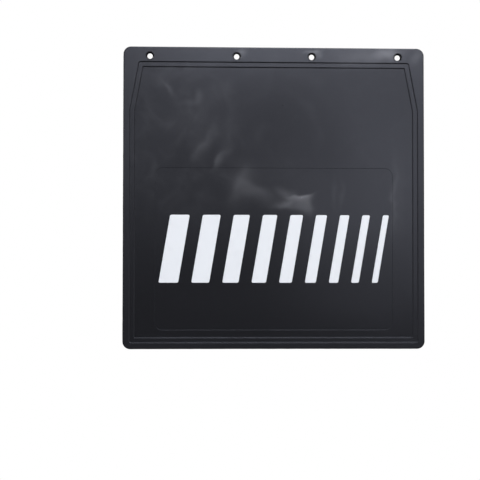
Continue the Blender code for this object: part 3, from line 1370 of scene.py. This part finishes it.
@dataclass(frozen=True)
class FlapSheet:
    """The moulded sheet, with its stepped face, bolt holes, seats and moulding marks."""

    corner: float = 0.010
    rim: float = 0.0012
    rim_parts: int = 6
    rim_guard: float = 0.0002
    rim_turn: float = math.radians(35)  # how far the rim turns before it is as matt as the edge
    shelf_step: float = 0.0012
    field_step: float = 0.0011
    panel_step: float = 0.0003
    wall_lean: float = 0.9
    step_edge: float = 0.00045
    panel_lean: float = 0.65
    panel_edge: float = 0.00015
    frame_side: float = 0.0092
    frame_bottom: float = 0.0090
    frame_top: float = 0.0205
    shoulder_side: float = 0.0210
    shoulder_drop: float = 0.0835
    frame_corner: float = 0.0025
    shelf_width: float = 0.0064
    field_corner: float = 0.0010
    panel_side: float = 0.0424
    panel_bottom: float = 0.0250
    panel_height: float = 0.2145
    panel_corner: float = 0.010
    outer_hole_side: float = 0.035
    inner_hole_spacing: float = 0.100
    seat_gap: float = 0.0003
    seat_depth: float = 0.0010
    seat_edge: float = 0.00015
    seat_pitch: float = 0.003
    seat_fill_pitch: float = 0.008
    back_fill_pitch: float = 0.006
    gate_x: float = 0.0115
    gate_drop: float = 0.077
    gate_rings: tuple[Span, ...] = (
        (0.0016, 0.0),
        (0.0013, 0.00001),
        (0.0009, 0.00001),
        (0.0008, -0.00008),
        (0.0005, -0.00025),
    )
    gate_tip: float = -0.0001
    gate_raw: float = 0.00085
    pin_columns: tuple[float, ...] = (-0.13, 0.0, 0.13)
    pin_rows: tuple[float, ...] = (-0.09, -0.30)
    pin_rings: tuple[Span, ...] = ((0.0048, 0.0), (0.0045, -0.00012), (0.0042, -0.00015))
    pin_tip: float = -0.00015
    lip_depth: float = 0.0001
    flash_inset: float = 0.00008
    flash: Bead = Bead(radius=0.00022, unevenness=1.4, blotch=0.012, pitch=0.0015)
    lip: Bead = Bead(radius=0.00022, unevenness=0.5, blotch=0.004, pitch=0.0007)

    @property
    def low(self) -> Vector:
        """The sheet's lowest corner."""
        return Vector(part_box(SHEET_NODE)[0])

    @property
    def high(self) -> Vector:
        """The sheet's highest corner."""
        return Vector(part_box(SHEET_NODE)[1])

    def outline(self) -> Outline:
        """The sheet's own outline."""
        return Outline(rectangle(self.low.x, self.high.x, self.low.z, self.high.z), self.corner)

    def frame_outline(self) -> Outline:
        """The foot of the outer step, with its slanted shoulders.

        Returns:
            The outline.
        """
        side = self.high.x - self.frame_side
        shoulder = self.high.x - self.shoulder_side
        right = [
            (side, self.low.z + self.frame_bottom),
            (side, self.high.z - self.shoulder_drop),
            (shoulder, self.high.z - self.frame_top),
        ]
        left = [(-x, z) for x, z in reversed(right)]
        return Outline(tuple(Vector(corner) for corner in right + left), self.frame_corner)

    def field_outline(self) -> Outline:
        """The line whose inner neighbour, one shelf's width away, is the foot of the inner step."""
        return Outline(self.frame_outline().corners, self.field_corner + self.shelf_width)

    def panel_outline(self) -> Outline:
        """The foot of the emblem panel's step.

        Returns:
            The outline.
        """
        foot = self.low.z + self.panel_bottom
        corners = rectangle(
            self.low.x + self.panel_side, self.high.x - self.panel_side, foot, foot + self.panel_height
        )
        return Outline(corners, self.panel_corner)

    def holes(self) -> list[BoltHole]:
        """The four bolt holes, from left to right.

        Returns:
            The holes.
        """
        outer = self.high.x - self.outer_hole_side
        inner = self.inner_hole_spacing / 2
        return [BoltHole(Vector((x, 0.0))) for x in (-outer, -inner, inner, outer)]

    def gate_mark(self) -> TurnedMark:
        """The scar where the rubber entered the mould: a small torn pit in a flat collar."""
        centre = Vector((self.gate_x, self.high.z - self.gate_drop))
        return TurnedMark(centre, self.gate_rings, self.gate_tip, self.gate_raw)

    def pin_marks(self) -> list[TurnedMark]:
        """The shallow rounds that the ejector pins left on the back face."""
        centres = [Vector((x, z)) for x in self.pin_columns for z in self.pin_rows]
        return [TurnedMark(centre, self.pin_rings, self.pin_tip) for centre in centres]

    def build(self, bars: Sequence[BarPlace], material: bpy.types.Material, ripple: Ripple) -> None:
        """Makes the sheet and its beads of flash, and lets the sheet stand for its node.

        Args:
            bars: The places of the bars that it has seats for.
            material: The black rubber.
            ripple: How the sheet strays from flat.
        """
        skin = Skin()
        front, back = self.low.y, self.high.y
        shelf = front + self.shelf_step
        field = shelf + self.field_step
        panel = field + self.panel_step
        rim = self._rim(skin, front, back)
        bores = [self._bore(skin, hole, front, back) for hole in self.holes()]
        frame_step = step_section(front, shelf, self.step_edge, self.wall_lean)
        field_step = step_section(shelf, field, self.step_edge, self.wall_lean)
        panel_step = step_section(field, panel, self.panel_edge, self.panel_lean)
        outer = self._moulded(skin, self.frame_outline(), 0.0, frame_step, (Surface.BORDER, Surface.SHELF))
        inner = self._moulded(
            skin, self.field_outline(), -self.shelf_width, field_step, (Surface.SHELF, Surface.FIELD)
        )
        sunk = self._moulded(skin, self.panel_outline(), 0.0, panel_step, (Surface.FIELD, Surface.PANEL))
        gate = self._turned(skin, self.gate_mark(), field, -1, Surface.FIELD)
        pins = [self._turned(skin, mark, back, 1, Surface.BACK) for mark in self.pin_marks()]
        seats = [self._seat(skin, bar, panel) for bar in bars]
        skin.fill(rim[0], [outer[0], *(bore[0] for bore in bores)], Surface.BORDER)
        skin.band(outer[-1], inner[0])
        skin.fill(inner[-1], [sunk[0], gate], Surface.FIELD)
        skin.fill(sunk[-1], seats, Surface.PANEL)
        openings = [*(bore[-1] for bore in bores), *pins]
        skin.fill(rim[-1], openings, Surface.BACK, self.back_fill_pitch, 1)
        declare(skin.piece("moulded_sheet", material, ripple), Slot.BLACK, SHEET_NODE)
        self._beads(material, ripple, front, back)

    def _rim(self, skin: Skin, front: float, back: float) -> list[list[int]]:
        """The rounded outer edge.

        Args:
            skin: The skin that it is added to.
            front: The level of the front face.
            back: The level of the back face.

        Returns:
            Rings from the front face to the back face.
        """
        edge = ((-1.0, front), (0.0, front), (0.0, back), (-1.0, back))
        section = Section(edge, (self.rim, self.rim), self.rim_parts, self.rim_guard)
        outline = self.outline()
        steep = -self.rim * (1.0 - math.sin(self.rim_turn))
        rings = [
            skin.ring(outline.points(spot.x), spot.y, Surface.EDGE if spot.x > steep else Surface.BORDER)
            for spot in section.points()
        ]
        skin.inward(rings[::-1])
        return rings

    @staticmethod
    def _bore(skin: Skin, hole: BoltHole, front: float, back: float) -> list[list[int]]:
        """A bolt hole's wall.

        Args:
            skin: The skin that it is added to.
            hole: The hole.
            front: The level of the front face.
            back: The level of the back face.

        Returns:
            Rings from the front face to the back face.
        """
        lip = front + hole.front_edge / 2
        rings = [
            skin.ring(points, y, Surface.BORDER if y < lip else Surface.BORE)
            for points, y in hole.rings(front, back)
        ]
        skin.inward(rings)
        return rings

    @staticmethod
    def _moulded(
        skin: Skin, outline: Outline, outwards: float, section: Section, surfaces: tuple[Surface, Surface]
    ) -> list[list[int]]:
        """A moulded edge along an outline.

        Args:
            skin: The skin that it is added to.
            outline: The outline.
            outwards: How far outside that outline the section's own zero lies.
            section: The section through the edge.
            surfaces: The surfaces above it and below it.

        Returns:
            Rings from its top to its foot.
        """
        spots = section.points()
        middle = (spots[0].y + spots[-1].y) / 2
        rings = [
            skin.ring(outline.points(outwards + spot.x), spot.y, surfaces[spot.y > middle]) for spot in spots
        ]
        skin.inward(rings)
        return rings

    @staticmethod
    def _turned(skin: Skin, mark: TurnedMark, level: float, facing: int, surface: Surface) -> list[int]:
        """A round mark in a level face.

        Args:
            skin: The skin that it is added to.
            mark: The mark.
            level: The level of the face.
            facing: -1 if the face looks towards -Y, and 1 if it looks towards +Y.
            surface: The surface that it lies on.

        Returns:
            The ring where it meets the face.
        """
        surfaces = [Surface.BORE if radius < mark.raw_within else surface for radius, _ in mark.rings]
        rings = [
            skin.ring(circle(mark.centre, radius, mark.sides), level + facing * rise, kind)
            for (radius, rise), kind in zip(mark.rings, surfaces)
        ]
        order = rings if facing < 0 else [ring[::-1] for ring in rings]
        skin.inward(order)
        skin.cap(order[-1], mark.centre, level + facing * mark.tip, surfaces[-1])
        return rings[0]

    def _seat(self, skin: Skin, bar: BarPlace, level: float) -> list[int]:
        """The seat of one bar.

        Args:
            skin: The skin that it is added to.
            bar: The bar's place.
            level: The level of the panel.

        Returns:
            The ring where it meets the panel.
        """
        corners = leaning(bar.centre, bar.width, bar.height, bar.lean)
        outline = Outline(corners, WhiteBars.corner, self.seat_pitch)
        section = step_section(level, level + self.seat_depth, self.seat_edge, 0.0)
        rings = self._moulded(skin, outline, self.seat_gap, section, (Surface.PANEL, Surface.PANEL))
        skin.fill(rings[-1], [], Surface.PANEL, self.seat_fill_pitch)
        return rings[0]

    def _beads(self, material: bpy.types.Material, ripple: Ripple, front: float, back: float) -> None:
        """The flash along the mould's parting line and the soft lips round the bolt holes.

        Args:
            material: The black rubber.
            ripple: How the sheet strays from flat.
            front: The level of the front face.
            back: The level of the back face.
        """
        recipe = bead_recipe(material)
        line = self.outline().points(-self.flash_inset)
        flash = self.flash.laid(recipe, [(line, (front + back) / 2)])
        settle(flash, ripple)
        declare(linked("parting_line_flash", flash, material), Slot.BLACK)
        levels = (front + self.lip_depth, back - self.lip_depth)
        rings = [ring for hole in self.holes() for ring in hole.lips(*levels)]
        declare(linked("bolt_hole_lips", self.lip.laid(recipe, rings), material), Slot.BLACK)


# ---------------------------------------------------------------------------------------------------------
# The studio
# ---------------------------------------------------------------------------------------------------------


@dataclass(frozen=True)
class Softbox:
    """A square lamp that shines on the middle of the flap."""

    name: str
    location: Place
    size: float
    power: float

    def build(self, target: Vector) -> None:
        """Adds the lamp.

        Args:
            target: The place that it shines on.
        """
        light = bpy.data.lights.new(self.name, "AREA")
        light.shape = "SQUARE"
        light.size = self.size
        light.energy = self.power
        lamp = bpy.data.objects.new(self.name, light)
        lamp.location = self.location
        lamp.rotation_mode = "QUATERNION"
        lamp.rotation_quaternion = (target - lamp.location).to_track_quat("-Z", "Y")
        lamp.visible_camera = False
        bpy.context.scene.collection.objects.link(lamp)


@dataclass(frozen=True)
class Studio:
    """The plain studio: white behind and above the flap, dim in front, grey beside, with a floor below.

    The light of a side sets in, and is full, where a direction's part towards that side is at its limits.
    """

    floor_y: float = 0.30
    floor_drop: float = 0.36
    floor_radius: float = 1.4
    floor_sides: int = 96
    fill: float = 0.12
    dim: float = 0.028
    beside: float = 0.48
    above: float = 0.62
    behind_limits: Span = (0.25, 0.75)
    beside_limits: Span = (0.45, 0.80)
    above_limits: Span = (0.40, 0.80)
    softboxes: tuple[Softbox, ...] = (
        Softbox("left_softbox", (-0.43, -1.35, 0.34), 1.08, 2.1),
        Softbox("right_softbox", (0.69, -2.90, 0.07), 0.67, 3.6),
        Softbox("key_softbox", (0.29, -2.02, 1.12), 1.19, 47.5),
        Softbox("back_softbox", (-1.3, 1.7, 0.9), 1.0, 42.0),
    )

    def build(self) -> None:
        """Adds the floor, the world and the lamps."""
        low, high = (Vector(corner) for corner in CAD_BOUNDS)
        self._floor(low.z - self.floor_drop)
        self._world()
        for softbox in self.softboxes:
            softbox.build((low + high) / 2)
        bpy.context.scene.view_settings.view_transform = "Standard"

    def _floor(self, height: float) -> None:
        """Adds the floor: a wide disc.

        Args:
            height: Its level.
        """
        bm = bmesh.new()
        centre = Matrix.Translation((0.0, self.floor_y, height))
        size = {"segments": self.floor_sides, "radius": self.floor_radius}
        bmesh.ops.create_circle(bm, cap_ends=True, matrix=centre, **size)
        mesh = bpy.data.meshes.new("floor")
        bm.to_mesh(mesh)
        bm.free()
        linked("floor", mesh, PaleFloor(self.floor_y).material())

    def _world(self) -> None:
        """Sets the world: white where it is seen, and dimmer where the flap's face mirrors it."""
        world = bpy.data.worlds.new("studio")
        world.use_nodes = True
        world.node_tree.nodes.clear()
        bpy.context.scene.world = world
        wiring = Wiring(world.node_tree)
        aside, behind, up = wiring.parts(wiring.node("ShaderNodeTexCoord", output="Generated"))
        backdrop = wiring.fade(behind, *self.behind_limits)
        sides = wiring.fade(abs(aside), *self.beside_limits) * self.beside
        ceiling = wiring.fade(up, *self.above_limits) * self.above
        room = wiring.larger(wiring.larger(backdrop, ceiling), wiring.larger(sides, self.dim))
        mirrored = mirrored_rays(wiring)
        unseen = mirrored * room + (1.0 - mirrored) * self.fill
        strength = wiring.larger(unseen, wiring.node("ShaderNodeLightPath", output="Is Camera Ray"))
        light = wiring.node("ShaderNodeBackground", inputs={"Color": WHITE_LIGHT, "Strength": strength})
        show(wiring, light, "ShaderNodeOutputWorld")


@dataclass(frozen=True)
class Viewpoint:
    """The camera, nearly square on to the flap, a little to its left and level with its lower half."""

    aim: Place = (-0.0452, 0.0, -0.2440)
    distance: float = 1.486
    from_left: float = math.radians(2.08)
    below: float = math.radians(1.43)
    roll: float = math.radians(0.07)
    lens: float = 84.0

    def build(self) -> None:
        """Adds the camera and makes it the scene's own."""
        data = bpy.data.cameras.new("camera")
        data.lens = self.lens
        camera = bpy.data.objects.new("camera", data)
        level = Vector((math.sin(self.from_left), math.cos(self.from_left), 0.0))
        towards = level * math.cos(self.below) + Vector((0.0, 0.0, math.sin(self.below)))
        camera.location = Vector(self.aim) - towards * self.distance
        camera.rotation_mode = "QUATERNION"
        roll = Quaternion((0.0, 0.0, 1.0), self.roll)
        camera.rotation_quaternion = towards.to_track_quat("-Z", "Y") @ roll
        bpy.context.scene.collection.objects.link(camera)
        bpy.context.scene.camera = camera


def main() -> None:
    """Dresses the flap and sets up its studio."""
    logging.basicConfig(level=logging.INFO, format="%(name)s: %(message)s")
    ripple = Ripple()
    bars = WhiteBars()
    black, white = BlackRubber().material(), WhiteRubber().material()
    FlapSheet().build(bars.places(), black, ripple)
    bars.build(white, ripple)
    Studio().build()
    Viewpoint().build()


if __name__ == "__main__":
    main()
